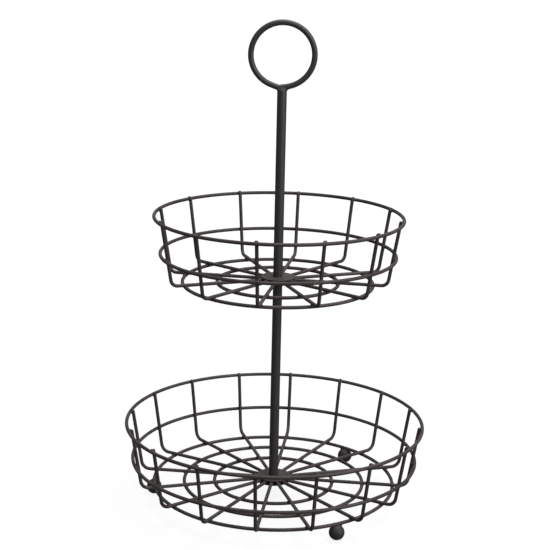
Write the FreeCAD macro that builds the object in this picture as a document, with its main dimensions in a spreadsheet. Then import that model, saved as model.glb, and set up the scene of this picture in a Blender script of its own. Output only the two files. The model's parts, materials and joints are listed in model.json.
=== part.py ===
import FreeCAD, Part
import Sketcher
import os

# A two-tier wire basket on a centre post with a ring handle.
# Each basket is a set of bent ribs, welded to round hoops and clamped at the hub between two discs.
# The lower basket stands on three balls; the upper one is held between the two rods of the post.
# Lengths are in millimetres and angles in degrees. +Z is up, the post's axis is the Z axis, and the
# origin is on the ground.

SIZES = (
    ("wire_d", 2.75, "diameter of the basket wire"),
    ("weld_sink", 0.3, "depth that a wire is pressed into its neighbour at a weld"),
    ("wall_lean", 9.3, "angle of the basket walls from the vertical"),
    ("rib_tip_rise", 0.5, "height of a rib's last straight point over the middle of the rim wire"),
    ("spoke_end_room", 1.6, "distance of the ribs' inner ends from where they would touch each other"),
    ("lower_rib_count", 16, "ribs of the lower basket"),
    ("lower_rib_start", -97, "direction of the lower basket's first rib"),
    ("lower_floor_radius", 107.35, "radius where floor and wall of the lower basket would meet"),
    ("lower_bend_radius", 7, "bend between floor and wall, at the middle of the wire"),
    ("lower_rim_ring_rise", 48.2, "height of the rim over the spokes, middle to middle"),
    ("lower_wall_ring_rise", 19, "height of the wall hoop over the spokes, middle to middle"),
    ("lower_floor_ring_inset", 5.4, "distance of the outer floor hoop from the start of the bend"),
    ("lower_floor_ring_step", 24.3, "distance from one floor hoop to the next"),
    ("upper_rib_count", 12, "ribs of the upper basket"),
    ("upper_rib_start", -100, "direction of the upper basket's first rib"),
    ("upper_floor_radius", 85.65, "radius where floor and wall of the upper basket would meet"),
    ("upper_bend_radius", 5.5, "bend between floor and wall, at the middle of the wire"),
    ("upper_rim_ring_rise", 49.6, "height of the rim over the spokes, middle to middle"),
    ("upper_wall_ring_rise", 20.1, "height of the wall hoop over the spokes, middle to middle"),
    ("upper_floor_ring_inset", 6.8, "distance of the outer floor hoop from the start of the bend"),
    ("upper_floor_ring_step", 27, "distance from one floor hoop to the next"),
    ("hub_disc_d", 27, "diameter of the discs that clamp the ribs"),
    ("hub_disc_thickness", 1.2, "thickness of those discs"),
    ("hub_edge_round", 0.35, "rounding of their edges"),
    ("foot_d", 12, "diameter of the ball feet"),
    ("foot_flat_d", 3, "diameter of the flat that each ball stands on"),
    ("foot_seat", 0.7, "depth that a ball is sunk into the outer floor hoop"),
    ("foot_1_angle", 50, "direction of the back right foot"),
    ("foot_2_angle", 181, "direction of the left foot"),
    ("foot_3_angle", 300, "direction of the front right foot"),
    ("rod_d", 7.4, "diameter of both rods of the post"),
    ("lower_rod_length", 160.9, "lower rod, from hub to hub"),
    ("handle_rod_length", 146.15, "upper rod, from the upper hub to its tip"),
    ("ring_radius", 24, "handle ring, at the middle of the wire"),
    ("ring_wire_d", 4.4, "diameter of the handle ring's wire"),
    ("ring_seat", 1.2, "depth that the handle ring is sunk into the rod's tip"),
    ("ring_slit", 0.5, "gap between the two ends of the handle ring's wire"),
    ("ring_slit_offset", 2.4, "distance of that gap from the post's axis"),
    ("thread_d", 3.9, "diameter of the stud and of the screw's shank"),
    ("thread_clearance", 0.05, "room round the threads in the rods, on the radius"),
    ("hub_clearance", 0.1, "room round the threads in the hub discs, on the radius"),
    ("stud_chamfer", 0.5, "chamfer of the stud's ends"),
    ("stud_lower_grip", 10, "length of the stud inside the lower rod"),
    ("stud_upper_grip", 9, "length of the stud inside the upper rod"),
    ("screw_grip", 10, "length of the screw inside the lower rod"),
    ("bore_spare", 1.5, "depth of each bore past the thread in it"),
    ("washer_d", 9, "diameter of the washer under the lower hub"),
    ("washer_thickness", 0.8, "thickness of that washer"),
    ("screw_head_d", 7.4, "diameter of the screw's domed head"),
    ("screw_head_height", 2.4, "height of that head"),
    ("screw_socket_d", 2.9, "six-sided socket in the head, across its corners"),
    ("screw_socket_depth", 1.4, "depth of that socket"),
)

X_AXIS = FreeCAD.Vector(1, 0, 0)
Y_AXIS = FreeCAD.Vector(0, 1, 0)
Z_AXIS = FreeCAD.Vector(0, 0, 1)

# Heights, worked out upwards from the ground
CROSSING = "(sizes.wire_d - sizes.weld_sink)"
HUB_HALF = "(sizes.wire_d / 2 - sizes.weld_sink + sizes.hub_disc_thickness)"
FOOT_Z = "(sqrt(sizes.foot_d ^ 2 - sizes.foot_flat_d ^ 2) / 2)"
FOOT_HOOP_Z = f"({FOOT_Z} + sizes.foot_d / 2 - sizes.foot_seat + sizes.wire_d / 2)"
LOWER_FLOOR_Z = f"({FOOT_HOOP_Z} + {CROSSING})"
LOWER_HUB_BOTTOM_Z = f"({LOWER_FLOOR_Z} - {HUB_HALF})"
LOWER_HUB_TOP_Z = f"({LOWER_FLOOR_Z} + {HUB_HALF})"
UPPER_HUB_BOTTOM_Z = f"({LOWER_HUB_TOP_Z} + sizes.lower_rod_length)"
UPPER_FLOOR_Z = f"({UPPER_HUB_BOTTOM_Z} + {HUB_HALF})"
UPPER_HUB_TOP_Z = f"({UPPER_FLOOR_Z} + {HUB_HALF})"
ROD_TIP_Z = f"({UPPER_HUB_TOP_Z} + sizes.handle_rod_length)"
RING_Z = f"({ROD_TIP_Z} - sizes.ring_seat + sizes.ring_wire_d / 2 + sizes.ring_radius)"

# The turn of a rib between floor and wall, and the holes on the post's axis
TURN = "(90 - sizes.wall_lean)"
BORE_RADIUS = "sizes.thread_d / 2 + sizes.thread_clearance"
HUB_HOLE_RADIUS = "sizes.thread_d / 2 + sizes.hub_clearance"

# Radii that a sketch's outer circle and hole are drawn with, before the sheet sets them
DRAWN_RADII = (2, 1)

doc = FreeCAD.newDocument("tiered_wire_basket")
nodes = []


def make_sheet():
    """The driving dimensions, one row each: name, value and meaning."""
    sheet = doc.addObject("Spreadsheet::Sheet", "sizes")
    for row, (alias, value, meaning) in enumerate(SIZES, start=1):
        sheet.set(f"A{row}", alias)
        sheet.set(f"B{row}", str(value))
        sheet.set(f"C{row}", meaning)
        sheet.setAlias(f"B{row}", alias)
    doc.recompute()
    return sheet


def add(kind, name, expressions, axis=Z_AXIS, angle=0):
    """A primitive turned about one axis, with its sizes and its place bound to the sheet."""
    piece = doc.addObject(kind, name)
    piece.Placement = FreeCAD.Placement(FreeCAD.Vector(), FreeCAD.Rotation(axis, angle))
    for target, expression in expressions.items():
        piece.setExpression(target, expression)
    return piece


def cylinder(name, radius, height, bottom):
    """An upright cylinder on the post's axis."""
    return add("Part::Cylinder", name, {"Radius": radius, "Height": height, "Placement.Base.z": bottom})


def join(name, pieces):
    fused = doc.addObject("Part::MultiFuse", name)
    fused.Shapes = pieces
    return fused


def gather(name, pieces):
    group = doc.addObject("Part::Compound", name)
    group.Links = pieces
    return group


def cut(name, base, tool):
    remainder = doc.addObject("Part::Cut", name)
    remainder.Base = base
    remainder.Tool = tool
    return remainder


def node(piece):
    """Mark a piece as one of the object's sub-parts."""
    nodes.append(piece)
    return piece


def origin_plane(body, role):
    return next(feature for feature in body.Origin.OriginFeatures if feature.Role == role)


def dress_rim(body, feature_kind, base, widest_hole, size_name, size):
    """Fillet or chamfer the circular edges of a padded disc, apart from those of its hole."""
    doc.recompute()
    edges = [
        f"Edge{index}"
        for index, edge in enumerate(base.Shape.Edges, start=1)
        if isinstance(edge.Curve, Part.Circle) and edge.Curve.Radius > widest_hole
    ]
    dressing = body.newObject(feature_kind, body.Name + "_edges")
    dressing.Base = (base, edges)
    dressing.setExpression(size_name, size)
    body.Tip = dressing


def padded_disc(name, radius, thickness, bottom, hole_radius=None):
    """A body padded upwards from a circle, or from a circle with a hole in its middle."""
    body = doc.addObject("PartDesign::Body", name)
    outline = body.newObject("Sketcher::SketchObject", name + "_outline")
    outline.AttachmentSupport = (origin_plane(body, "XY_Plane"), [""])
    outline.MapMode = "FlatFace"
    outline.setExpression("AttachmentOffset.Base.z", bottom)
    circles = {"outer": radius}
    if hole_radius:
        circles["hole"] = hole_radius
    for drawn_radius, (label, expression) in zip(DRAWN_RADII, circles.items()):
        circle = outline.addGeometry(Part.Circle(FreeCAD.Vector(), Z_AXIS, drawn_radius))
        outline.addConstraint(Sketcher.Constraint("Coincident", circle, 3, -1, 1))
        size = outline.addConstraint(Sketcher.Constraint("Radius", circle, drawn_radius))
        outline.renameConstraint(size, label)
        outline.setExpression("Constraints." + label, expression)
    pad = body.newObject("PartDesign::Pad", name + "_pad")
    pad.Profile = outline
    pad.setExpression("Length", thickness)
    body.Tip = pad
    return body, pad


def bend_length(tier):
    """Length of floor, or of wall, that the bend of a rib takes up: radius times tan(turn / 2)."""
    return f"(sizes.{tier}_bend_radius * tan({TURN} / 2))"


def floor_ring_radius(tier, place):
    """Radius of a floor hoop, counted inwards from the outer one, which lies just inside the bend."""
    outer = f"sizes.{tier}_floor_radius - {bend_length(tier)} - sizes.{tier}_floor_ring_inset"
    return f"({outer} - {place} * sizes.{tier}_floor_ring_step)"


def wall_ring_radius(tier, rise):
    """Radius of a hoop that lies on the outside of the leaning uprights, at a height over the floor."""
    upright = f"sizes.{tier}_floor_radius + {rise} * tan(sizes.wall_lean)"
    return f"({upright} + {CROSSING} / cos(sizes.wall_lean))"


def make_rib(tier, number, floor_z):
    """One bent wire: a spoke from the hub, the bend, the leaning upright and its domed tip."""
    name = f"{tier}_rib_{number + 1:02d}"
    wire_radius = "sizes.wire_d / 2"
    floor_radius = f"sizes.{tier}_floor_radius"
    bend_radius = f"sizes.{tier}_bend_radius"
    tangent = bend_length(tier)
    spoke_end = f"(sizes.wire_d / 2 / sin(180 / sizes.{tier}_rib_count) + sizes.spoke_end_room)"
    tip_rise = f"(sizes.{tier}_rim_ring_rise + sizes.rib_tip_rise)"

    spoke = add("Part::Cylinder", name + "_spoke", {
        "Radius": wire_radius,
        "Height": f"{floor_radius} - {tangent} - {spoke_end}",
        "Placement.Base.x": spoke_end,
        "Placement.Base.z": floor_z,
    }, Y_AXIS, 90)
    bend = doc.addObject("Part::Torus", name + "_bend")
    bend.Placement.Rotation = FreeCAD.Rotation(-Z_AXIS, X_AXIS, -Y_AXIS, "XYZ")
    bend.setExpression("Radius1", bend_radius)
    bend.setExpression("Radius2", wire_radius)
    bend.setExpression("Angle3", TURN)
    bend.setExpression("Placement.Base.x", f"{floor_radius} - {tangent}")
    bend.setExpression("Placement.Base.z", f"{floor_z} + {bend_radius}")
    upright = add("Part::Cylinder", name + "_upright", {
        "Radius": wire_radius,
        "Height": f"{tip_rise} / cos(sizes.wall_lean) - {tangent}",
        "Placement.Base.x": f"{floor_radius} + {tangent} * sin(sizes.wall_lean)",
        "Placement.Base.z": f"{floor_z} + {tangent} * cos(sizes.wall_lean)",
        "Placement.Rotation.Angle": "sizes.wall_lean",
    }, Y_AXIS, 1)
    tip = add("Part::Sphere", name + "_tip", {
        "Radius": wire_radius,
        "Placement.Base.x": f"{floor_radius} + {tip_rise} * tan(sizes.wall_lean)",
        "Placement.Base.z": f"{floor_z} + {tip_rise}",
        "Placement.Rotation.Angle": "sizes.wall_lean",
    }, Y_AXIS, 1)
    tip.Angle1 = 0

    rib = join(name, [spoke, bend, upright, tip])
    direction = f"sizes.{tier}_rib_start + {number} * 360 / sizes.{tier}_rib_count"
    rib.setExpression("Placement.Rotation.Angle", direction)
    return rib


def make_hoop(name, radius, height, ribs):
    """A ring of wire, dented where the ribs are welded to it. Returns the wire without its dents."""
    wire = add("Part::Torus", name + "_wire", {
        "Radius1": radius,
        "Radius2": "sizes.wire_d / 2",
        "Placement.Base.z": height,
    })
    node(cut(name, wire, ribs))
    return wire


def make_hub_disc(name, bottom, ribs):
    """A flat disc with a hole for the thread, dented where the spokes are pressed into it."""
    edge_round = "min(sizes.hub_edge_round; sizes.hub_disc_thickness * 0.4)"
    body, pad = padded_disc(name + "_blank", "sizes.hub_disc_d / 2", "sizes.hub_disc_thickness", bottom,
                            HUB_HOLE_RADIUS)
    dress_rim(body, "PartDesign::Fillet", pad, sheet.thread_d, "Radius", edge_round)
    node(cut(name, body, ribs))


def make_basket(tier, floor_z, floor_hoops):
    """Ribs, the two hoops outside the wall, the hoops under the floor and the two hub discs."""
    ribs = [node(make_rib(tier, number, floor_z)) for number in range(int(sheet.get(f"{tier}_rib_count")))]
    all_ribs = gather(f"{tier}_ribs", ribs)
    for hoop in ("rim_ring", "wall_ring"):
        rise = f"sizes.{tier}_{hoop}_rise"
        make_hoop(f"{tier}_{hoop}", wall_ring_radius(tier, rise), f"{floor_z} + {rise}", all_ribs)
    hoop_z = f"{floor_z} - {CROSSING}"
    floor_wires = [
        make_hoop(f"{tier}_floor_ring_{hoop}", floor_ring_radius(tier, place), hoop_z, all_ribs)
        for place, hoop in enumerate(floor_hoops)
    ]
    make_hub_disc(f"{tier}_hub_top_disc", f"{floor_z} + {HUB_HALF} - sizes.hub_disc_thickness", all_ribs)
    make_hub_disc(f"{tier}_hub_bottom_disc", f"{floor_z} - {HUB_HALF}", all_ribs)
    return floor_wires


def make_feet(hoop_wire):
    """Three balls under the outer floor hoop, each with a small flat where it stands."""
    circle_radius = floor_ring_radius("lower", 0)
    for number in (1, 2, 3):
        name = f"foot_ball_{number}"
        direction = f"sizes.foot_{number}_angle"
        ball = add("Part::Sphere", name + "_blank", {
            "Radius": "sizes.foot_d / 2",
            "Angle1": "-acos(sizes.foot_flat_d / sizes.foot_d)",
            "Placement.Base.x": f"{circle_radius} * cos({direction})",
            "Placement.Base.y": f"{circle_radius} * sin({direction})",
            "Placement.Base.z": FOOT_Z,
        })
        node(cut(name, ball, hoop_wire))


def make_post():
    """The two rods, the stud that joins them through the upper hub, and the screw from below."""
    rod_radius = "sizes.rod_d / 2"
    screw_bore = cylinder("lower_rod_screw_bore", BORE_RADIUS, "sizes.screw_grip + sizes.bore_spare",
                          LOWER_HUB_TOP_Z)
    stud_bore = cylinder("lower_rod_stud_bore", BORE_RADIUS, "sizes.stud_lower_grip + sizes.bore_spare",
                         f"{UPPER_HUB_BOTTOM_Z} - sizes.stud_lower_grip - sizes.bore_spare")
    lower_blank = cylinder("lower_rod_blank", rod_radius, "sizes.lower_rod_length", LOWER_HUB_TOP_Z)
    node(cut("lower_rod", lower_blank, gather("lower_rod_bores", [screw_bore, stud_bore])))

    stud, stud_pad = padded_disc(
        "joining_stud", "sizes.thread_d / 2",
        f"sizes.stud_lower_grip + 2 * {HUB_HALF} + sizes.stud_upper_grip",
        f"{UPPER_HUB_BOTTOM_Z} - sizes.stud_lower_grip")
    dress_rim(stud, "PartDesign::Chamfer", stud_pad, 0, "Size", "sizes.stud_chamfer")
    node(stud)

    ring_wire = add("Part::Torus", "handle_ring_wire", {
        "Radius1": "sizes.ring_radius",
        "Radius2": "sizes.ring_wire_d / 2",
        "Placement.Base.z": RING_Z,
    }, X_AXIS, 90)
    slit = add("Part::Box", "handle_ring_slit", {
        "Length": "sizes.ring_slit",
        "Width": "2 * sizes.ring_wire_d",
        "Height": "2 * sizes.ring_wire_d",
        "Placement.Base.x": "-sizes.ring_slit_offset - sizes.ring_slit / 2",
        "Placement.Base.y": "-sizes.ring_wire_d",
        "Placement.Base.z": f"{RING_Z} - sizes.ring_radius - sizes.ring_wire_d",
    })
    node(cut("handle_ring", ring_wire, slit))

    handle_bore = cylinder("handle_rod_bore", BORE_RADIUS, "sizes.stud_upper_grip + sizes.bore_spare",
                           UPPER_HUB_TOP_Z)
    handle_blank = cylinder("handle_rod_blank", rod_radius, "sizes.handle_rod_length", UPPER_HUB_TOP_Z)
    node(cut("handle_rod", handle_blank, gather("handle_rod_cuts", [handle_bore, ring_wire])))


def make_base_screw():
    """The washer under the lower hub and the domed screw that holds the lower rod down on it."""
    washer_bottom = f"({LOWER_HUB_BOTTOM_Z} - sizes.washer_thickness)"
    washer, _ = padded_disc("base_washer", "sizes.washer_d / 2", "sizes.washer_thickness", washer_bottom,
                            HUB_HOLE_RADIUS)
    node(washer)

    head_height = "sizes.screw_head_height"
    dome_radius = f"((sizes.screw_head_d ^ 2 / 4 + {head_height} ^ 2) / 2 / {head_height})"
    head = add("Part::Sphere", "base_screw_head", {
        "Radius": dome_radius,
        "Angle1": f"asin(1 - {head_height} / {dome_radius})",
        "Placement.Base.z": f"{washer_bottom} + {dome_radius} - {head_height}",
    }, X_AXIS, 180)
    shank = cylinder("base_screw_shank", "sizes.thread_d / 2",
                     f"sizes.washer_thickness + 2 * {HUB_HALF} + sizes.screw_grip", washer_bottom)
    socket = add("Part::Prism", "base_screw_socket", {
        "Circumradius": "sizes.screw_socket_d / 2",
        "Height": "sizes.screw_socket_depth",
        "Placement.Base.z": f"{washer_bottom} - {head_height}",
    })
    socket.Polygon = 6
    node(cut("base_screw", join("base_screw_blank", [head, shank]), socket))


def check():
    """Stop unless every object was rebuilt and every sub-part is one closed solid."""
    for piece in doc.Objects:
        if "Invalid" in piece.State or "Error" in piece.State:
            raise RuntimeError(f"{piece.Label} failed: {piece.State}")
    for piece in nodes:
        shape = piece.Shape
        if shape.isNull() or not shape.isValid() or len(shape.Solids) != 1:
            raise RuntimeError(f"{piece.Label} is not one valid solid")


def write_parts():
    os.makedirs("parts", exist_ok=True)
    for piece in nodes:
        piece.Shape.exportStep(os.path.join("parts", piece.Label + ".step"))


sheet = make_sheet()
lower_floor_wires = make_basket("lower", LOWER_FLOOR_Z, ("outer", "middle", "inner"))
make_feet(lower_floor_wires[0])
make_basket("upper", UPPER_FLOOR_Z, ("outer", "inner"))
make_post()
make_base_screw()
doc.recompute()
check()
write_parts()

whole = Part.makeCompound([piece.Shape for piece in nodes]).optimalBoundingBox()
print(f"{len(nodes)} sub-parts, {whole.XLength:.2f} x {whole.YLength:.2f} x {whole.ZLength:.2f} mm,",
      f"from z = {whole.ZMin:.3f}")
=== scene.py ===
"""Dresses a two-tier wire basket: welds, bent handle ring, turned rods, thread, coating and studio."""

import json
import math

import bpy
import numpy as np
from bpy.props import FloatProperty, FloatVectorProperty, IntProperty, PointerProperty
from mathutils import Matrix, Vector

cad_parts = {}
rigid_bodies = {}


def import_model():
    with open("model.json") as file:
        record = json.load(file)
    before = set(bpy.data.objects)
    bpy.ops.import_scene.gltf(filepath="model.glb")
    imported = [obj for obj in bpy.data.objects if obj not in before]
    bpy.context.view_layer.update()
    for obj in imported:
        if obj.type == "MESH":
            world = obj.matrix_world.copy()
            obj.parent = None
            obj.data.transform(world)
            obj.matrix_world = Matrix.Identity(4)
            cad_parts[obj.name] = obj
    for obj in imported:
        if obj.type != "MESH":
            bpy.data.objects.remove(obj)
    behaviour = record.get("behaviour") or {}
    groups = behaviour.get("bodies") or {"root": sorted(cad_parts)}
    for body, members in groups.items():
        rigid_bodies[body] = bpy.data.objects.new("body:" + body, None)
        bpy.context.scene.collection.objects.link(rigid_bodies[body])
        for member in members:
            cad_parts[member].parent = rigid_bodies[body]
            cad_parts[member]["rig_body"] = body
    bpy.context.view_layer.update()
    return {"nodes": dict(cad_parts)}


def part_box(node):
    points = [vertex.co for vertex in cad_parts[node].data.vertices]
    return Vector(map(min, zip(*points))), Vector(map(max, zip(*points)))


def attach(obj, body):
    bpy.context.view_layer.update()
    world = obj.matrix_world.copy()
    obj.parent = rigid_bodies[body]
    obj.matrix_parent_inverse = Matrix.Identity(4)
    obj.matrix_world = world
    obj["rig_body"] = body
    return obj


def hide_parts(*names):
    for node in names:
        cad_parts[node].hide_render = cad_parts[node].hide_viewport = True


bl_info = {
    "name": "Tiered Wire Basket",
    "version": (1, 0, 0),
    "blender": (4, 5, 0),
    "location": "View3D > Sidebar > Basket",
    "description": "Welds, handle, rods, thread, coating and studio for a two-tier wire basket",
    "category": "Add Mesh",
}

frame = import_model()
nodes = frame["nodes"]

MM = 0.001
TIERS = ("lower", "upper")
PHOTO_SIDE = 550
COAT_SLOT = "powder_coat"
ZINC_SLOT = "zinc_plate"
ZINC_NODES = ("joining_stud", "base_washer", "base_screw")
WELD_SHARP = 70

# Grain sizes of the finishes
PATCH_GRAIN = 22 * MM
SPECK_GRAIN = 1.3 * MM
GLOSS_GRAIN = 4 * MM
PEEL_GRAIN = 0.7 * MM
DUST_GRAIN = 0.18 * MM
ZINC_CLOUD_GRAIN = 3 * MM
ZINC_MARK_GRAIN = 1.2 * MM
ZINC_MARK_SQUEEZE = (1, 1, 12)
ZINC_MARK_DEPTH = 0.02 * MM


# Reading the frame

def node_points(name):
    """The corner points of a CAD node's mesh, as rows of x, y, z."""
    mesh = nodes[name].data
    flat = np.empty(3 * len(mesh.vertices), np.float32)
    mesh.vertices.foreach_get("co", flat)
    return flat.reshape(-1, 3).astype(float)


def names_of(start):
    """The CAD nodes whose names start with these words, in order."""
    return sorted(name for name in nodes if name.startswith(start))


def body_of(name):
    """The body that a CAD node rides on."""
    return nodes[name]["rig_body"]


def level_hoop(name):
    """Radius and height of a level hoop at the middle of its wire, and the wire's radius."""
    low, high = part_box(name)
    wire = (high.z - low.z) / 2
    return (high.x - low.x) / 2 - wire, (high.z + low.z) / 2, wire


def upright_cylinder(name):
    """Radius, bottom and top of a round piece that stands on the post's axis."""
    low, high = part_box(name)
    return (high.x - low.x) / 2, low.z, high.z


def rib_directions(tier):
    """The direction of each rib of a basket about the post: that of the middle of its points."""
    middles = np.array([node_points(name)[:, :2].mean(axis=0) for name in names_of(f"{tier}_rib_")])
    return np.arctan2(middles[:, 1], middles[:, 0])


def spoke_height(tier):
    """Height of a basket's spokes at the middle of the wire."""
    wire = level_hoop(f"{tier}_rim_ring")[2]
    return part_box(names_of(f"{tier}_rib_")[0])[0].z + wire


# Building meshes

def grid_quads(rows, columns, wrap_rows=False, wrap_columns=False, copies=1):
    """Corner numbers of the quads between the neighbours of a grid, for copies of the grid in a row."""
    row = np.arange(rows if wrap_rows else rows - 1)[:, None]
    column = np.arange(columns if wrap_columns else columns - 1)[None, :]
    next_row = (row + 1) % rows
    next_column = (column + 1) % columns
    corners = (
        row * columns + column,
        next_row * columns + column,
        next_row * columns + next_column,
        row * columns + next_column,
    )
    quads = np.stack([corner.ravel() for corner in np.broadcast_arrays(*corners)], axis=1)
    starts = np.arange(copies)[:, None, None] * rows * columns
    return (quads[None] + starts).reshape(-1, 4)


def fan(ring, pole, reverse):
    """Corner numbers of the triangles between a closed ring of points and one pole."""
    following = np.roll(ring, -1)
    pair = (following, ring) if reverse else (ring, following)
    return np.stack([*pair, np.full_like(ring, pole)], axis=1)


def enclosed_volume(points, faces):
    """Signed volume inside closed faces: the sum of the tetrahedra from the origin to each triangle."""
    total = 0.0
    for group in faces:
        for corner in range(1, group.shape[1] - 1):
            first = points[group[:, 0]]
            second = points[group[:, corner]]
            third = points[group[:, corner + 1]]
            total += np.sum(first * np.cross(second, third)) / 6
    return total


def add_piece(name, points, faces, body, material, slot, sharp_angle=40):
    """A smooth mesh of these points and groups of faces, turned outwards, that rides on a body."""
    points = np.asarray(points, float).reshape(-1, 3)
    if enclosed_volume(points, faces) < 0:
        faces = [group[:, ::-1] for group in faces]
    sizes = np.concatenate([np.full(len(group), group.shape[1]) for group in faces])
    corners = np.concatenate([group.ravel() for group in faces])
    mesh = bpy.data.meshes.new(name)
    mesh.vertices.add(len(points))
    mesh.vertices.foreach_set("co", points.astype(np.float32).ravel())
    mesh.loops.add(len(corners))
    mesh.loops.foreach_set("vertex_index", corners.astype(np.int32))
    mesh.polygons.add(len(sizes))
    mesh.polygons.foreach_set("loop_start", (np.cumsum(sizes) - sizes).astype(np.int32))
    mesh.polygons.foreach_set("use_smooth", np.ones(len(sizes), bool))
    mesh.update(calc_edges=True)
    if mesh.validate():
        raise RuntimeError(f"{name} has faces that are not sound")
    mesh.set_sharp_from_angle(angle=math.radians(sharp_angle))
    mesh.materials.append(material)
    piece = bpy.data.objects.new(name, mesh)
    bpy.context.scene.collection.objects.link(piece)
    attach(piece, body)
    return piece


def ball_arc(centres, towards_first, towards_second, ball, steps):
    """Arc on a ball's surface between the two points where it touches its neighbours.

    Each point is the centre plus the radius times a direction that swings evenly from the first
    to the second.
    """
    share = np.linspace(0, 1, steps)
    swing = np.arccos(np.clip(np.sum(towards_first * towards_second, axis=-1), -1, 1))[..., None]
    first = np.sin((1 - share) * swing) / np.sin(swing)
    second = np.sin(share * swing) / np.sin(swing)
    from_first = first[..., None] * towards_first[..., None, :]
    from_second = second[..., None] * towards_second[..., None, :]
    return centres[..., None, :] + ball[..., None, None] * (from_first + from_second)


def lathe(profile, segments):
    """A profile of radius and height carried round the post's axis, with its two ends closed on the axis.

    Point = (radius cos angle, radius sin angle, height). The profile's first and last rows are the poles.
    """
    angle = np.linspace(0, 2 * np.pi, segments, endpoint=False)
    radius, height = profile[1:-1].T
    grid = np.stack([
        radius[:, None] * np.cos(angle),
        radius[:, None] * np.sin(angle),
        np.broadcast_to(height[:, None], (len(radius), segments)),
    ], axis=-1)
    poles = np.array([[0, 0, profile[0, 1]], [0, 0, profile[-1, 1]]])
    points = np.concatenate([grid.reshape(-1, 3), poles])
    first_ring = np.arange(segments)
    last_ring = first_ring + (len(radius) - 1) * segments
    faces = [
        grid_quads(len(radius), segments, wrap_columns=True),
        fan(first_ring, len(points) - 2, reverse=False),
        fan(last_ring, len(points) - 1, reverse=True),
    ]
    return points, faces


def quarter(centre, radius, start, steps):
    """Points of a quarter turn about a centre, from a direction in degrees, anticlockwise."""
    angle = np.radians(np.linspace(start, start + 90, steps))
    return np.stack([centre[0] + radius * np.cos(angle), centre[1] + radius * np.sin(angle)], axis=1)


# Materials

def new_material(name):
    """A material with its node tree and its shader."""
    material = bpy.data.materials.new(name)
    material.use_nodes = True
    tree = material.node_tree
    return material, tree, tree.nodes["Principled BSDF"]


def add_node(tree, kind, inputs, **settings):
    """A node with its settings, and each input set to a value or linked to another node's output."""
    node = tree.nodes.new(kind)
    for name, value in settings.items():
        setattr(node, name, value)
    for name, value in inputs.items():
        if isinstance(value, bpy.types.NodeSocket):
            tree.links.new(value, node.inputs[name])
        else:
            node.inputs[name].default_value = value
    return node


def noise(tree, place, grain, detail=2.0, roughness=0.5):
    """A noise of about that grain size, in metres, over a place in the object's own space."""
    return add_node(tree, "ShaderNodeTexNoise", {
        "Vector": place, "Scale": 1 / grain, "Detail": detail, "Roughness": roughness,
    }).outputs["Fac"]


def blend_values(tree, first, second, share):
    """First value plus a share of the way to the second."""
    return add_node(tree, "ShaderNodeMapRange", {
        "Value": share, "To Min": first, "To Max": second,
    }).outputs["Result"]


def ramp(tree, value, stops):
    """A colour that runs through stops of position and colour."""
    node = add_node(tree, "ShaderNodeValToRGB", {"Fac": value})
    elements = node.color_ramp.elements
    while len(elements) < len(stops):
        elements.new(0.5)
    for element, (position, colour) in zip(elements, stops):
        element.position = position
        element.color = (*colour, 1)
    return node.outputs["Color"]


def coat_material(name, looks, peel_height, scuff_height=0.0, painted_shade=(1, 1, 1)):
    """Black powder coat: warm and neutral patches, fine specks, uneven gloss and an orange-peel surface.

    Below scuff_height the coat is rubbed grey in spots, as on a foot that has been pushed about.
    The tint multiplies the coat's colours; on the feet it is a painted shade that makes them darker and
    cooler, as under the basket.
    """
    material, tree, shader = new_material(name)
    place = add_node(tree, "ShaderNodeTexCoord", {}).outputs["Object"]
    patches = noise(tree, place, PATCH_GRAIN, detail=4)
    specks = noise(tree, place, SPECK_GRAIN, detail=3, roughness=0.7)
    speck_share = 0.4
    tone = blend_values(tree, patches, specks, speck_share)
    shades = ((0.36, looks.coat_shadow), (0.50, looks.coat_middle), (0.66, looks.coat_light))
    # Painted shade: the tint darkens these colours wherever it is given
    colour = ramp(tree, tone, [(position, np.multiply(shade, painted_shade)) for position, shade in shades])
    if scuff_height:
        height = add_node(tree, "ShaderNodeSeparateXYZ", {"Vector": place}).outputs["Z"]
        near_ground = add_node(tree, "ShaderNodeMapRange", {
            "Value": height, "From Min": 0.0, "From Max": scuff_height, "To Min": 1.0, "To Max": 0.0,
        }).outputs["Result"]
        rubbed = add_node(tree, "ShaderNodeMath", {0: near_ground, 1: specks}, operation="MULTIPLY")
        mixer = add_node(tree, "ShaderNodeMixRGB", {
            "Fac": rubbed.outputs[0], "Color1": colour, "Color2": (*looks.scuff, 1),
        })
        colour = mixer.outputs["Color"]
    tree.links.new(colour, shader.inputs["Base Color"])
    gloss = add_node(tree, "ShaderNodeMapRange", {
        "Value": noise(tree, place, GLOSS_GRAIN, detail=3),
        "From Min": 0.3, "From Max": 0.7,
        "To Min": looks.coat_roughness - looks.coat_roughness_spread,
        "To Max": looks.coat_roughness + looks.coat_roughness_spread,
    })
    tree.links.new(gloss.outputs["Result"], shader.inputs["Roughness"])
    peel = noise(tree, place, PEEL_GRAIN, detail=1)
    dust = noise(tree, place, DUST_GRAIN, detail=2)
    dust_share = 0.25
    bump = add_node(tree, "ShaderNodeBump", {
        "Height": blend_values(tree, peel, dust, dust_share), "Distance": peel_height, "Strength": 0.6,
    })
    tree.links.new(bump.outputs["Normal"], shader.inputs["Normal"])
    shader.inputs["Specular IOR Level"].default_value = looks.coat_specular
    return material


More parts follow.
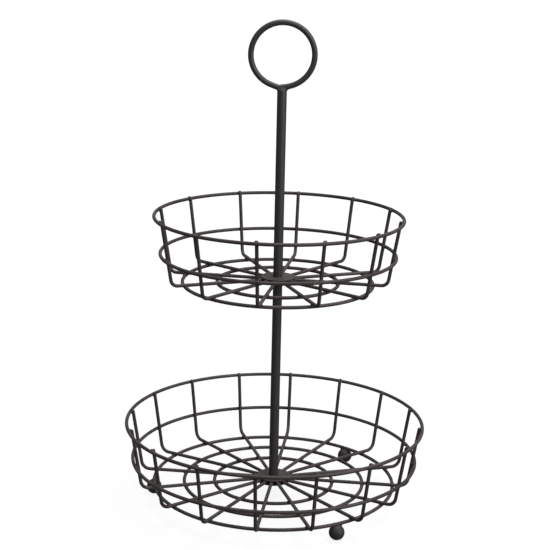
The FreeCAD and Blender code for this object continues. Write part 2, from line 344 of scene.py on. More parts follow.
def zinc_material(name, looks):
    """Zinc plating: pale metal with faint bluish and yellowish clouds and fine turning marks."""
    material, tree, shader = new_material(name)
    place = add_node(tree, "ShaderNodeTexCoord", {}).outputs["Object"]
    clouds = noise(tree, place, ZINC_CLOUD_GRAIN, detail=4)
    colour = ramp(tree, clouds, (
        (0.35, looks.zinc_blue),
        (0.55, looks.zinc_middle),
        (0.75, looks.zinc_yellow),
    ))
    tree.links.new(colour, shader.inputs["Base Color"])
    squeezed = add_node(tree, "ShaderNodeMapping", {"Vector": place, "Scale": ZINC_MARK_SQUEEZE})
    marks = noise(tree, squeezed.outputs["Vector"], ZINC_MARK_GRAIN, detail=4, roughness=0.7)
    gloss = add_node(tree, "ShaderNodeMapRange", {"Value": marks, "To Min": 0.2, "To Max": 0.5})
    tree.links.new(gloss.outputs["Result"], shader.inputs["Roughness"])
    bump = add_node(tree, "ShaderNodeBump", {
        "Height": marks, "Distance": ZINC_MARK_DEPTH, "Strength": 0.4,
    })
    tree.links.new(bump.outputs["Normal"], shader.inputs["Normal"])
    shader.inputs["Metallic"].default_value = 1.0
    return material


def material_named(name):
    """A finish made earlier."""
    material = bpy.data.materials.get(name)
    if material is None:
        raise RuntimeError(f"the finish {name} is missing: run the finishes first")
    return material


# Sizes and colours that a user would change

def length_property(name, description, millimetres):
    return FloatProperty(name=name, description=description, default=millimetres * MM, min=0.0,
                         subtype="DISTANCE", unit="LENGTH")


def share_property(name, description, share, most=1.0):
    return FloatProperty(name=name, description=description, default=share, min=0.0, max=most,
                         subtype="FACTOR")


def strength_property(name, description, strength):
    return FloatProperty(name=name, description=description, default=strength, min=0.0)


def power_property(name, description, watts):
    return FloatProperty(name=name, description=description, default=watts, min=0.0,
                         subtype="POWER", unit="POWER")


def angle_property(name, description, degrees):
    return FloatProperty(name=name, description=description, default=math.radians(degrees),
                         subtype="ANGLE", unit="ROTATION")


def colour_property(name, description, colour):
    return FloatVectorProperty(name=name, description=description, default=colour, size=3, min=0.0, max=1.0,
                               subtype="COLOR")


class BasketWelds(bpy.types.PropertyGroup):
    """Sizes of the weld metal."""

    crossing_ball: length_property("Crossing fillet", "Radius of the fillet where two wires cross", 0.75)
    hub_ball: length_property("Hub fillet", "Radius of the fillet between a spoke and a hub disc", 0.4)
    hub_inset: length_property("Hub inset", "Distance of the hub fillets from the disc's edge", 0.7)
    foot_ball: length_property("Foot fillet", "Radius of the fillet between a ball and its hoop", 0.9)
    spread: share_property("Spread", "How much the fillets differ in size", 0.18, most=0.5)
    seed: IntProperty(name="Seed", description="Start of the fillets' random sizes", default=7, min=0)


class BasketHandle(bpy.types.PropertyGroup):
    """Shape of the handle ring, its weld and the rods."""

    left_tail: length_property("Left tail", "Start of the straight left end, from the post", 8.0)
    right_tail: length_property("Right tail", "Start of the straight right end, from the post", 3.5)
    weld_reach: length_property("Weld reach", "Distance of the weld's tips from the post's axis", 5.3)
    weld_drop: length_property("Weld drop", "Depth of the weld's foot below the rod's tip", 2.8)
    nose_width: length_property("Nose width", "How far the rod's tip is ground in, under the weld", 1.7)
    nose_height: length_property("Nose height", "Length of that ground tip", 2.6)
    rod_bevel: length_property("Rod bevel", "Bevel of the rods' other ends", 0.25)


class BasketThread(bpy.types.PropertyGroup):
    """Sizes of the screw thread."""

    pitch: length_property("Pitch", "Distance from one turn of the thread to the next", 0.7)
    depth: length_property("Depth", "Depth of the thread", 0.43)
    bevel: length_property("Bevel", "Length of the thread's run-out at each end", 0.6)


class BasketLooks(bpy.types.PropertyGroup):
    """Colours and gloss of the finishes."""

    coat_shadow: colour_property("Coat, dark", "Darkest tone of the coat", (0.040, 0.029, 0.030))
    coat_middle: colour_property("Coat", "Middle tone of the coat", (0.056, 0.045, 0.045))
    coat_light: colour_property("Coat, light", "Lightest tone of the coat", (0.074, 0.063, 0.062))
    coat_roughness: share_property("Coat roughness", "Mean roughness of the coat", 0.52)
    coat_roughness_spread: share_property("Coat roughness spread", "How uneven the gloss is", 0.07, most=0.5)
    coat_specular: share_property("Coat reflection", "Strength of the coat's reflection", 0.25)
    coat_peel: length_property("Orange peel", "Height of the coat's orange peel", 0.045)
    weld_peel: length_property("Weld roughness", "Height of the coat's unevenness over the welds", 0.09)
    scuff: colour_property("Scuff", "Colour of rubbed coat under the feet", (0.11, 0.105, 0.10))
    scuff_height: length_property("Scuff height", "Height over the ground that the feet are rubbed to", 1.6)
    # Painted shade: darkens the feet's coat and cools it a little, as shade under the basket would
    foot_painted_shade: colour_property("Foot painted shade", "What the coat's colours are multiplied by on the feet",
                               (0.68, 0.74, 0.77))
    zinc_blue: colour_property("Zinc, bluish", "Cool tone of the zinc plating", (0.50, 0.53, 0.56))
    zinc_middle: colour_property("Zinc", "Middle tone of the zinc plating", (0.60, 0.60, 0.58))
    zinc_yellow: colour_property("Zinc, yellowish", "Warm tone of the zinc plating", (0.64, 0.60, 0.47))


class BasketStage(bpy.types.PropertyGroup):
    """The backdrop, the lights and the camera."""

    backdrop_radius: length_property("Backdrop", "Radius of the round floor and the dome over it", 12000)
    floor_return: share_property("Floor return", "Share of the lamps' light that the floor gives back", 0.11)
    floor_glow: strength_property("Floor glow", "Light of the backdrop itself round the object", 0.89)
    sky_above: strength_property("Sky above", "Strength of the soft light from above", 0.36)
    sky_below: strength_property("Sky below", "Strength of the soft light from below", 0.14)
    key: power_property("Key", "Power of the soft light from the right", 32.0)
    top: power_property("Top", "Power of the soft light overhead", 36.0)
    camera_place: FloatVectorProperty(name="Camera", description="Where the camera stands", size=3,
                                      default=(-0.00893, -1.06319, 0.45535), subtype="TRANSLATION",
                                      unit="LENGTH")
    camera_focus: FloatProperty(name="Focal length", default=1408.94, min=1.0, subtype="PIXEL",
                                description="Focal length in pixels of the square picture")
    camera_pitch: angle_property("Pitch", "How far the camera looks down", 14.344)
    camera_yaw: angle_property("Yaw", "How far the camera looks to the right", 0.3615)
    camera_roll: angle_property("Roll", "How far the camera leans to the left", 1.280)


# Weld metal

def crossing_fillet(wire, apart, ball, steps):
    """Fillet round the place where two wires cross at a right angle, one over the other.

    A ball rolls once round the crossing and touches both wires. Its centre is one wire radius plus one ball
    radius from both axes, so its height swings twice per round as the cosine of twice the angle, and its two
    level coordinates follow from that height. The fillet is the arc between the two touching points, closed
    by one point inside the metal. Local axes: along the upper wire, along the lower wire, up.
    """
    angle = np.linspace(0, 2 * np.pi, ball.shape[1], endpoint=False)
    reach = wire + ball
    height = -(reach - apart / 2) * np.cos(2 * angle)
    along_upper = np.sign(np.cos(angle)) * np.sqrt(np.maximum(reach ** 2 - (height + apart / 2) ** 2, 0))
    along_lower = np.sign(np.sin(angle)) * np.sqrt(np.maximum(reach ** 2 - (height - apart / 2) ** 2, 0))
    centres = np.stack([along_upper, along_lower, height], axis=-1)
    nothing = np.zeros_like(height)
    to_upper = np.stack([nothing, -along_lower, apart / 2 - height], axis=-1) / reach[..., None]
    to_lower = np.stack([-along_upper, nothing, -apart / 2 - height], axis=-1) / reach[..., None]
    arc = ball_arc(centres, to_upper, to_lower, ball, steps)
    inside_share = 0.3
    inside = inside_share * centres[:, :, None]
    return np.concatenate([arc, inside], axis=2)


def rolling_ball(count, around, ball, spread, seed):
    """Radius of the rolling ball at each step of each fillet: a random size with a slow wave round it."""
    random = np.random.default_rng(seed)
    size = ball * (1 + spread * random.uniform(-1, 1, (count, 1)))
    phase = random.uniform(0, 2 * np.pi, (count, 1))
    angle = np.linspace(0, 2 * np.pi, around, endpoint=False)
    return size * (1 + 0.6 * spread * np.sin(angle + phase))


def hoop_fillets(hoop, directions, normal, apart, welds, seed):
    """Fillets of one hoop at every rib, bent along the hoop.

    normal points from the hoop to the rib, in the rib's upright plane, as (outwards, up).
    """
    around, steps = 16, 3
    radius, height, wire = level_hoop(hoop)
    ball = rolling_ball(len(directions), around, welds.crossing_ball, welds.spread, seed)
    along_rib, along_hoop, up = np.moveaxis(crossing_fillet(wire, apart, ball, steps), -1, 0)
    outwards, upwards = normal
    rib_outwards, rib_upwards = upwards, -outwards
    from_hoop = up + apart / 2
    distance = radius + outwards * from_hoop + rib_outwards * along_rib
    level = height + upwards * from_hoop + rib_upwards * along_rib
    angle = directions[:, None, None] + along_hoop / radius
    points = np.stack([distance * np.cos(angle), distance * np.sin(angle), level], axis=-1)
    return points.reshape(-1, 3), grid_quads(around, steps + 1, True, True, copies=len(directions))


def merge(parts):
    """One set of points and quads from several."""
    starts = np.cumsum([0] + [len(points) for points, quads in parts[:-1]])
    points = np.concatenate([points for points, quads in parts])
    quads = np.concatenate([quads + start for start, (points_here, quads) in zip(starts, parts)])
    return points, quads


class BASKET_OT_crossing_welds(bpy.types.Operator):
    """Fillets of weld metal and coat where the ribs cross the hoops"""

    bl_idname = "basket.crossing_welds"
    bl_label = "Crossing welds"

    def execute(self, context):
        welds = context.scene.basket_welds
        for tier in TIERS:
            directions = rib_directions(tier)
            rim_radius, rim_height, wire = level_hoop(f"{tier}_rim_ring")
            wall_radius, wall_height, wire = level_hoop(f"{tier}_wall_ring")
            lean = math.atan2(rim_radius - wall_radius, rim_height - wall_height)
            floor_hoops = names_of(f"{tier}_floor_ring_")
            apart = spoke_height(tier) - level_hoop(floor_hoops[0])[1]
            inwards = (-math.cos(lean), math.sin(lean))
            hoops = [(f"{tier}_rim_ring", inwards), (f"{tier}_wall_ring", inwards)]
            hoops += [(name, (0.0, 1.0)) for name in floor_hoops]
            parts = [
                hoop_fillets(name, directions, normal, apart, welds, welds.seed + place)
                for place, (name, normal) in enumerate(hoops)
            ]
            points, quads = merge(parts)
            add_piece(f"{tier}_crossing_welds", points, [quads], body_of(hoops[0][0]),
                      material_named("coated_weld"), COAT_SLOT, sharp_angle=WELD_SHARP)
        return {"FINISHED"}


def hub_fillets(tier, disc, welds):
    """Fillets along both sides of each spoke where it is pressed into a hub disc.

    A ball rolls along the corner between the spoke and the disc's flat face, and shrinks to a tenth at both
    ends. Its section is the arc between its touching points, closed by the corner itself.
    """
    along, steps = 7, 4
    directions = rib_directions(tier)
    wire = level_hoop(f"{tier}_rim_ring")[2]
    floor = spoke_height(tier)
    disc_radius, disc_bottom, disc_top = upright_cylinder(disc)
    side = 1 if disc_top > floor + wire else -1
    face = (disc_bottom - floor) if side > 0 else (floor - disc_top)
    rib = node_points(names_of(f"{tier}_rib_")[0])
    start = np.hypot(rib[:, 0], rib[:, 1]).min() + wire
    end = disc_radius - welds.hub_inset
    share = np.linspace(-1, 1, along)
    least = 0.1
    ball = welds.hub_ball * np.maximum(np.sqrt(np.maximum(1 - share ** 4, 0)), least)
    up = face - ball
    across = np.sqrt((wire + ball) ** 2 - up ** 2)
    centres = np.stack([np.zeros(along), across, up], axis=-1)
    to_spoke = -centres / (wire + ball)[:, None]
    to_disc = np.tile([0.0, 0.0, 1.0], (along, 1))
    arc = ball_arc(centres, to_spoke, to_disc, ball, steps)
    into_spoke, into_disc = 0.9, 1.05
    corner = [0.0, math.sqrt(wire ** 2 - face ** 2) * into_spoke, face * into_disc]
    corner = np.broadcast_to(corner, (along, 1, 3))
    section = np.concatenate([arc, corner], axis=1)
    distance = (start + end) / 2 + share * (end - start) / 2
    cosine = np.cos(directions)[:, None, None]
    sine = np.sin(directions)[:, None, None]
    parts = []
    for hand in (1, -1):
        offset = hand * section[..., 1]
        x = distance[:, None] * cosine - offset * sine
        y = distance[:, None] * sine + offset * cosine
        z = np.broadcast_to(floor + side * section[..., 2], x.shape)
        points = np.stack([x, y, z], axis=-1)
        quads = grid_quads(along, steps + 1, wrap_columns=True, copies=len(directions))
        first = np.arange(len(directions))[:, None] * along * (steps + 1)
        ends = np.arange(steps + 1)
        caps = np.concatenate([first + ends[::-1], first + (along - 1) * (steps + 1) + ends])
        turned = hand * side < 0
        groups = [group[:, ::-1] if turned else group for group in (quads, caps)]
        parts.append((points.reshape(-1, 3), groups))
    return parts


class BASKET_OT_hub_welds(bpy.types.Operator):
    """Fillets where the spokes are pressed into the hub discs"""

    bl_idname = "basket.hub_welds"
    bl_label = "Hub welds"

    def execute(self, context):
        welds = context.scene.basket_welds
        for tier in TIERS:
            discs = names_of(f"{tier}_hub_")
            parts = [part for disc in discs for part in hub_fillets(tier, disc, welds)]
            starts = np.cumsum([0] + [len(points) for points, groups in parts[:-1]])
            points = np.concatenate([points for points, groups in parts])
            faces = [
                np.concatenate([groups[kind] + start for start, (places, groups) in zip(starts, parts)])
                for kind in range(2)
            ]
            add_piece(f"{tier}_hub_welds", points, faces, body_of(discs[0]), material_named("coated_weld"),
                      COAT_SLOT, sharp_angle=WELD_SHARP)
        return {"FINISHED"}


def foot_fillet(ball_foot, wire, apart, ball, steps):
    """Fillet between a round foot and the wire across its top.

    A ball rolls round the place and touches both. Its centre is one foot radius plus its own from the foot's
    centre, and one wire radius plus its own from the wire's axis. With the place along the wire given, the
    first rule less the second gives the height, and the second gives the place across.
    """
    around = ball.shape[-1]
    angle = np.linspace(0, 2 * np.pi, around, endpoint=False)
    from_foot, from_wire = ball_foot + ball, wire + ball
    lowest = apart - from_wire
    along = np.sqrt(from_foot ** 2 - lowest ** 2) * np.cos(angle)
    height = (from_foot ** 2 - from_wire ** 2 + apart ** 2 - along ** 2) / (2 * apart)
    across = np.sign(np.sin(angle)) * np.sqrt(np.maximum(from_wire ** 2 - (height - apart) ** 2, 0))
    centres = np.stack([across, along, height], axis=-1)
    axis = np.stack([np.zeros_like(along), along, np.full_like(along, apart)], axis=-1)
    to_foot = -centres / from_foot[..., None]
    to_wire = (axis - centres) / from_wire[..., None]
    arc = ball_arc(centres, to_foot, to_wire, ball, steps)
    contact = np.array([0.0, 0.0, ball_foot])
    inside_share = 0.4
    inside = contact + inside_share * (centres[..., None, :] - contact)
    return np.concatenate([arc, inside], axis=-2)


class BASKET_OT_foot_welds(bpy.types.Operator):
    """Fillets where the three balls are welded under the outer floor hoop"""

    bl_idname = "basket.foot_welds"
    bl_label = "Foot welds"

    def execute(self, context):
        welds = context.scene.basket_welds
        around, steps = 48, 6
        hoop_radius, hoop_height, wire = level_hoop("lower_floor_ring_outer")
        feet = names_of("foot_ball_")
        parts = []
        for place, foot in enumerate(feet):
            low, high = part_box(foot)
            foot_radius = (high.x - low.x) / 2
            direction = math.atan2(low.y + high.y, low.x + high.x)
            points = node_points(foot)
            level = points[np.argmax(np.hypot(points[:, 0], points[:, 1])), 2]
            ball = rolling_ball(1, around, welds.foot_ball, welds.spread, welds.seed + place)
            across, along, up = np.moveaxis(
                foot_fillet(foot_radius, wire, hoop_height - level, ball, steps)[0], -1, 0)
            angle = direction + along / hoop_radius
            distance = hoop_radius + across
            fillet = np.stack([distance * np.cos(angle), distance * np.sin(angle), level + up], axis=-1)
            parts.append((fillet.reshape(-1, 3), grid_quads(around, steps + 1, True, True)))
        points, quads = merge(parts)
        add_piece("foot_welds", points, [quads], body_of(feet[0]), material_named("coated_weld"), COAT_SLOT,
                  sharp_angle=WELD_SHARP)
        return {"FINISHED"}


# Handle ring, its weld and the rods

def ring_sizes():
    """Radius and height of the handle ring at the middle of its wire, and the wire's radius."""
    low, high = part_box("handle_ring")
    wire = (high.y - low.y) / 2
    radius = (high.x - low.x) / 2 - wire
    return radius, high.z - wire - radius, wire


def tail_meeting(radius, handle):
    """Where the straight ends of the ring meet, and the angles from the lowest point where they start.

    Each end is the tangent of the circle at its start, and the two tangents cross at the meeting point.
    """
    left = math.asin(handle.left_tail / radius)
    right = math.asin(handle.right_tail / radius)
    x = radius * (1 / math.cos(right) - 1 / math.cos(left)) / (math.tan(left) + math.tan(right))
    drop = radius / math.cos(left) + math.tan(left) * x
    return left, right, x, drop


def ring_path(radius, handle, steps, tail_steps):
    """The handle ring's line from the meeting of its ends, to the right, over the top and back.

    A circle between the two starts of the tails, and straight tangents from there to the meeting point.
    Returns the places as (x, height over the ring's middle).
    """
    left, right, meet_x, drop = tail_meeting(radius, handle)
    angle = np.linspace(right - np.pi / 2, 1.5 * np.pi - left, steps)
    circle = radius * np.stack([np.cos(angle), np.sin(angle)], axis=1)
    share = np.linspace(0, 1, tail_steps, endpoint=False)[:, None]
    meeting = np.array([meet_x, -drop])
    first_tail = meeting + share * (circle[0] - meeting)
    last_tail = circle[-1] + share[1:] * (meeting - circle[-1])
    return np.concatenate([first_tail, circle, last_tail])


def ring_height(x, radius, handle):
    """Height of the ring's line, near its lowest point, over the ring's middle: circle or tail at each x."""
    left, right, meet_x, drop = tail_meeting(radius, handle)
    circle = -np.sqrt(radius ** 2 - x ** 2)
    left_tail = -(radius / math.cos(left) + math.tan(left) * x)
    right_tail = -(radius / math.cos(right) - math.tan(right) * x)
    tails = np.where(x < meet_x, left_tail, right_tail)
    straight = (x > -handle.left_tail) & (x < handle.right_tail)
    return np.where(straight, tails, circle)


class BASKET_OT_handle_ring(bpy.types.Operator):
    """The handle ring: round wire bent to a circle, with short straight ends welded together over the post"""

    bl_idname = "basket.handle_ring"
    bl_label = "Handle ring"

    def execute(self, context):
        handle = context.scene.basket_handle
        steps, tail_steps, around = 112, 6, 24
        radius, middle, wire = ring_sizes()
        places = ring_path(radius, handle, steps, tail_steps)
        before = places - np.roll(places, 1, axis=0)
        after = np.roll(places, -1, axis=0) - places
        before /= np.linalg.norm(before, axis=1, keepdims=True)
        after /= np.linalg.norm(after, axis=1, keepdims=True)
        forward = before + after
        mitre = 2 / np.sum(forward * forward, axis=1)
        outwards = np.stack([forward[:, 1], -forward[:, 0]], axis=1) * mitre[:, None]
        angle = np.linspace(0, 2 * np.pi, around, endpoint=False)
        x = places[:, :1] + wire * outwards[:, :1] * np.cos(angle)
        z = middle + places[:, 1:] + wire * outwards[:, 1:] * np.cos(angle)
        y = np.broadcast_to(wire * np.sin(angle), x.shape)
        ring = add_piece("bent_handle_ring", np.stack([x, y, z], axis=-1),
                         [grid_quads(len(places), around, True, True)], body_of("handle_ring"),
                         material_named("powder_coat"), COAT_SLOT)
        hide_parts("handle_ring")
        return {"FINISHED"}


class BASKET_OT_handle_weld(bpy.types.Operator):
    """Weld metal between the rod's tip and the handle ring"""

    bl_idname = "basket.handle_weld"
    bl_label = "Handle weld"

    def execute(self, context):
        """A curve leaves the rod upwards and reaches the ring's wire along its surface, all the way round.

        At each angle about the post it is a cubic with the start, the end and both directions given.
        The start runs round the rod below its tip. The end runs along the wire's underside at both sides
        of the post, and up the wire's front and back.
        """
        handle = context.scene.basket_handle
        around, steps = 64, 11
        over_rod, into_wire, core = 1.003, 0.97, 0.5
        pull_from_rod, pull_to_ring = 1.25, 0.8
        wrap = np.radians(105)
        radius, middle, wire = ring_sizes()
        rod, _, rod_tip = upright_cylinder("handle_rod")
        angle = np.linspace(0, 2 * np.pi, around, endpoint=False)
        cosine, sine = np.cos(angle), np.sin(angle)
        uneven = 1 + 0.06 * np.sin(3 * angle + 0.7) + 0.04 * np.sin(5 * angle + 2.1)
        foot = rod_tip - handle.weld_drop * uneven
        start = np.stack([over_rod * rod * cosine, over_rod * rod * sine, foot], axis=1)
        climb = wrap * sine
        reach = handle.weld_reach * cosine * uneven
        end = np.stack([
            reach,
            into_wire * wire * np.sin(climb),
            middle + ring_height(reach, radius, handle) - into_wire * wire * np.cos(climb),
        ], axis=1)
        leave = np.tile([0.0, 0.0, pull_from_rod], (around, 1))
        arrive = pull_to_ring * np.stack([cosine, sine * np.cos(climb), np.abs(np.sin(climb))], axis=1)
        pace = np.linalg.norm(end - start, axis=1, keepdims=True)
        share = np.linspace(0, 1, steps)[:, None, None]
        bead = (
            (2 * share ** 3 - 3 * share ** 2 + 1) * start
            + (share ** 3 - 2 * share ** 2 + share) * pace * leave
            + (3 * share ** 2 - 2 * share ** 3) * end
            + (share ** 3 - share ** 2) * pace * arrive
        )
        inside = np.stack([core * rod * cosine, core * rod * sine, foot], axis=1)
        points = np.concatenate([bead, inside[None]])
        add_piece("handle_weld", points, [grid_quads(steps + 1, around, True, True)], body_of("handle_rod"),
                  material_named("coated_weld"), COAT_SLOT, sharp_angle=WELD_SHARP)
        return {"FINISHED"}


class BASKET_OT_rods(bpy.types.Operator):
    """The two rods of the post, bored for their threads and bevelled at their ends"""

    bl_idname = "basket.rods"
    bl_label = "Rods"

    def execute(self, context):
        handle = context.scene.basket_handle
        segments = 48
        bevel = handle.rod_bevel
        for name in ("lower_rod", "handle_rod"):
            radius, bottom, top = upright_cylinder(name)
            points = node_points(name)
            inner = points[np.hypot(points[:, 0], points[:, 1]) < 0.8 * radius]
            bore = np.hypot(inner[:, 0], inner[:, 1]).max()
            half = (bottom + top) / 2
            lower_end = inner[inner[:, 2] < half][:, 2].max()
            foot = np.array([
                (radius, bottom + bevel), (radius - bevel, bottom),
                (bore, bottom), (bore, lower_end), (0, lower_end),
            ])
            if name == "handle_rod":
                turn = quarter((0, 0), 1, 0, 9)[::-1]
                nose = turn * (handle.nose_width, handle.nose_height)
                nose += (radius - handle.nose_width, top - handle.nose_height)
                head = np.concatenate([[(0, top)], nose])
            else:
                upper_end = inner[inner[:, 2] > half][:, 2].min()
                head = np.array([
                    (0, upper_end), (bore, upper_end), (bore, top),
                    (radius - bevel, top), (radius, top - bevel),
                ])
            rod = add_piece(f"turned_{name}", *lathe(np.concatenate([head, foot]), segments), body_of(name),
                            material_named("powder_coat"), COAT_SLOT)
            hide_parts(name)
        return {"FINISHED"}


class BASKET_OT_stud(bpy.types.Operator):
    """The threaded stud that joins the two rods through the upper hub"""

    bl_idname = "basket.stud"
    bl_label = "Threaded stud"

    def execute(self, context):
        """Radius is the crest's, less the depth times a rounded wave.

        The wave's phase is height over pitch less angle over a turn. Near both ends the radius also stays
        under a bevel that runs in to the thread's root.
        """
        thread = context.scene.basket_thread
        segments, per_turn = 28, 8
        crest, bottom, top = upright_cylinder("joining_stud")
        rows = int(round((top - bottom) / thread.pitch * per_turn)) + 1
        height = np.linspace(bottom, top, rows)[:, None]
        angle = np.linspace(0, 2 * np.pi, segments, endpoint=False)
        turn = 2 * np.pi * (height - bottom) / thread.pitch - angle
        swing, under_root = 0.62, 0.1
        groove = np.clip(0.5 + swing * np.cos(turn), 0, 1)
        from_end = np.minimum(height - bottom, top - height)
        root = crest - thread.depth
        run_out = root - under_root * thread.depth + (crest - root) * from_end / thread.bevel
        radius = np.minimum(crest - thread.depth * groove, run_out)
        level = np.broadcast_to(height, radius.shape)
        grid = np.stack([radius * np.cos(angle), radius * np.sin(angle), level], axis=-1)
        points = np.concatenate([grid.reshape(-1, 3), [(0, 0, bottom), (0, 0, top)]])
        ring = np.arange(segments)
        faces = [
            grid_quads(rows, segments, wrap_columns=True),
            fan(ring, len(points) - 2, reverse=False),
            fan(ring + (rows - 1) * segments, len(points) - 1, reverse=True),
        ]
        stud = add_piece("threaded_stud", points, faces, body_of("joining_stud"),
                         material_named("zinc_plate"), ZINC_SLOT, sharp_angle=60)
        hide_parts("joining_stud")
        return {"FINISHED"}


class BASKET_OT_finishes(bpy.types.Operator):
    """The coat on every wire, disc and foot, and the plating on the fasteners"""

    bl_idname = "basket.finishes"
    bl_label = "Finishes"

    def execute(self, context):
        looks = context.scene.basket_looks
        coat = coat_material("powder_coat", looks, looks.coat_peel)
        coat_material("coated_weld", looks, looks.weld_peel)
        # The feet's coat carries a painted shade that makes it darker than the rest
        foot_coat = coat_material("foot_coat", looks, looks.coat_peel, looks.scuff_height, looks.foot_painted_shade)
        zinc = zinc_material("zinc_plate", looks)
        for name, node in nodes.items():
            node.data.materials.clear()
            if name in ZINC_NODES:
                node.data.materials.append(zinc)
            elif name.startswith("foot_ball_"):
                node.data.materials.append(foot_coat)
            else:
                node.data.materials.append(coat)
        return {"FINISHED"}


# Stage

def add_light(name, place, aim, side, power):
    """A square soft light that looks at a point."""
    light = bpy.data.lights.new(name, "AREA")
    light.shape = "SQUARE"
    light.size = side
    light.energy = power
    lamp = bpy.data.objects.new(name, light)
    lamp.location = place
    lamp.rotation_euler = (Vector(aim) - Vector(place)).to_track_quat("-Z", "Y").to_euler()
    bpy.context.scene.collection.objects.link(lamp)


def add_camera(stage):
    """A camera at the stage's place and angles, whose picture is square."""
    camera = bpy.data.cameras.new("photo_view")
    camera.sensor_width = 36.0
    camera.lens = camera.sensor_width * stage.camera_focus / PHOTO_SIDE
    camera.clip_start = 0.01
    camera.clip_end = 100.0
    forward = Vector((
        math.sin(stage.camera_yaw) * math.cos(stage.camera_pitch),
        math.cos(stage.camera_yaw) * math.cos(stage.camera_pitch),
        -math.sin(stage.camera_pitch),
    ))
    level = forward.cross(Vector((0, 0, 1))).normalized()
    upright = level.cross(forward)
    right = level * math.cos(stage.camera_roll) + upright * math.sin(stage.camera_roll)
    up = upright * math.cos(stage.camera_roll) - level * math.sin(stage.camera_roll)
    viewer = bpy.data.objects.new("photo_view", camera)
    turn = Matrix((right, up, -forward)).transposed().to_4x4()
    viewer.matrix_world = Matrix.Translation(stage.camera_place) @ turn
    bpy.context.scene.collection.objects.link(viewer)
    bpy.context.scene.camera = viewer


def backdrop_material(stage):
    """Matt white that glows, more so away from the middle, as a backdrop with lamps of its own does.

    The faces point out of the dome, so from outside, as from under the floor, they are seen from the front,
    and there they are clear.
    """
    material, tree, shader = new_material("pale_floor")
    place = add_node(tree, "ShaderNodeTexCoord", {}).outputs["Object"]
    distance = add_node(tree, "ShaderNodeVectorMath", {0: place}, operation="LENGTH").outputs["Value"]
    near, far = 0.25, 2.0
    glow = add_node(tree, "ShaderNodeMapRange", {
        "Value": distance, "From Min": near, "From Max": far, "To Min": stage.floor_glow, "To Max": 1.0,
    })
    tree.links.new(glow.outputs["Result"], shader.inputs["Emission Strength"])
    shader.inputs["Emission Color"].default_value = (1, 1, 1, 1)
    shader.inputs["Base Color"].default_value = (*[stage.floor_return] * 3, 1)
    shader.inputs["Roughness"].default_value = 1.0
    shader.inputs["Specular IOR Level"].default_value = 0.0
    inside = add_node(tree, "ShaderNodeNewGeometry", {}).outputs["Backfacing"]
    clear = add_node(tree, "ShaderNodeBsdfTransparent", {}).outputs["BSDF"]
    sides = add_node(tree, "ShaderNodeMixShader", {0: inside, 1: clear, 2: shader.outputs["BSDF"]})
    tree.links.new(sides.outputs["Shader"], tree.nodes["Material Output"].inputs["Surface"])
    return material


def add_backdrop(stage):
    """A round floor with a dome over it. It is white for the camera and throws no light on the object."""
    segments, steps = 64, 24
    angle = np.linspace(np.pi / 2, 0, steps)
    dome = stage.backdrop_radius * np.stack([np.cos(angle), np.sin(angle)], axis=1)
    points, faces = lathe(np.concatenate([dome, [(0, 0)]]), segments)
    mesh = bpy.data.meshes.new("backdrop")
    mesh.from_pydata(points.tolist(), [], [face for group in faces for face in group.tolist()])
    mesh.materials.append(backdrop_material(stage))
    backdrop = bpy.data.objects.new("backdrop", mesh)
    backdrop.visible_diffuse = False
    backdrop.visible_glossy = False
    backdrop.visible_shadow = False
    bpy.context.scene.collection.objects.link(backdrop)


def add_sky(stage):
    """Soft light from all round, strong from above and weak from below."""
    world = bpy.data.worlds.new("studio")
    world.use_nodes = True
    tree = world.node_tree
    direction = add_node(tree, "ShaderNodeTexCoord", {}).outputs["Generated"]
    height = add_node(tree, "ShaderNodeSeparateXYZ", {"Vector": direction}).outputs["Z"]
    low, high = -0.3, 0.5
    strength = add_node(tree, "ShaderNodeMapRange", {
        "Value": height, "From Min": low, "From Max": high,
        "To Min": stage.sky_below, "To Max": stage.sky_above,
    })
    background = tree.nodes["Background"]
    background.inputs["Color"].default_value = (1, 1, 1, 1)
    tree.links.new(strength.outputs["Result"], background.inputs["Strength"])
    bpy.context.scene.world = world


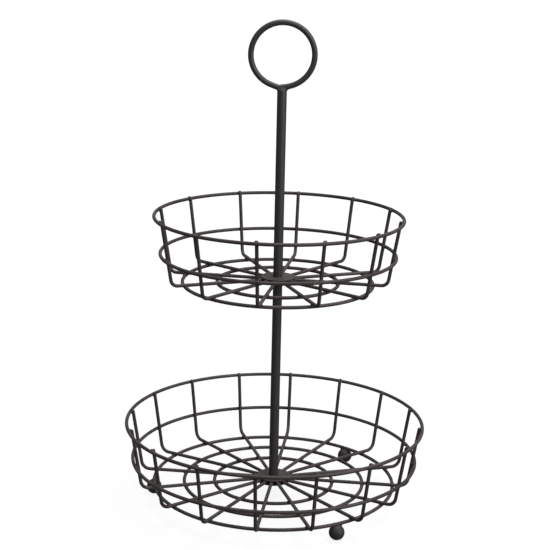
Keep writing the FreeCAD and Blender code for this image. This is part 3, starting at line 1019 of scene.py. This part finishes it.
class BASKET_OT_stage(bpy.types.Operator):
    """A plain pale floor and backdrop, soft studio light and the camera"""

    bl_idname = "basket.stage"
    bl_label = "Stage"

    def execute(self, context):
        stage = context.scene.basket_stage
        add_backdrop(stage)
        add_sky(stage)
        middle = (0, 0, 0.19)
        key_place, key_side = (1.6, -1.3, 1.1), 1.6
        top_place, top_side = (0.35, 0.25, 2.1), 1.4
        add_light("key_light", key_place, middle, key_side, stage.key)
        add_light("top_light", top_place, middle, top_side, stage.top)
        context.scene.view_settings.view_transform = "Standard"
        add_camera(stage)
        return {"FINISHED"}


class BASKET_PT_panel(bpy.types.Panel):
    """Lists the basket's pieces and the stage"""

    bl_idname = "BASKET_PT_panel"
    bl_label = "Tiered Wire Basket"
    bl_space_type = "VIEW_3D"
    bl_region_type = "UI"
    bl_category = "Basket"

    def draw(self, context):
        for operator in OPERATORS:
            self.layout.operator(operator.bl_idname)
        for group in GROUPS:
            box = self.layout.box()
            box.label(text=group.replace("_", " ").capitalize())
            settings = getattr(context.scene, group)
            for name in GROUPS[group].__annotations__:
                box.prop(settings, name)


GROUPS = {
    "basket_welds": BasketWelds,
    "basket_handle": BasketHandle,
    "basket_thread": BasketThread,
    "basket_looks": BasketLooks,
    "basket_stage": BasketStage,
}
OPERATORS = (
    BASKET_OT_finishes,
    BASKET_OT_crossing_welds,
    BASKET_OT_hub_welds,
    BASKET_OT_foot_welds,
    BASKET_OT_handle_ring,
    BASKET_OT_handle_weld,
    BASKET_OT_rods,
    BASKET_OT_stud,
    BASKET_OT_stage,
)
CLASSES = (*GROUPS.values(), *OPERATORS, BASKET_PT_panel)


def register():
    for cls in CLASSES:
        bpy.utils.register_class(cls)
    for name, group in GROUPS.items():
        setattr(bpy.types.Scene, name, PointerProperty(type=group))


def unregister():
    for name in GROUPS:
        delattr(bpy.types.Scene, name)
    for cls in reversed(CLASSES):
        bpy.utils.unregister_class(cls)


def main():
    register()
    for operator in OPERATORS:
        family, name = operator.bl_idname.split(".")
        getattr(getattr(bpy.ops, family), name)()


if __name__ == "__main__":
    main()
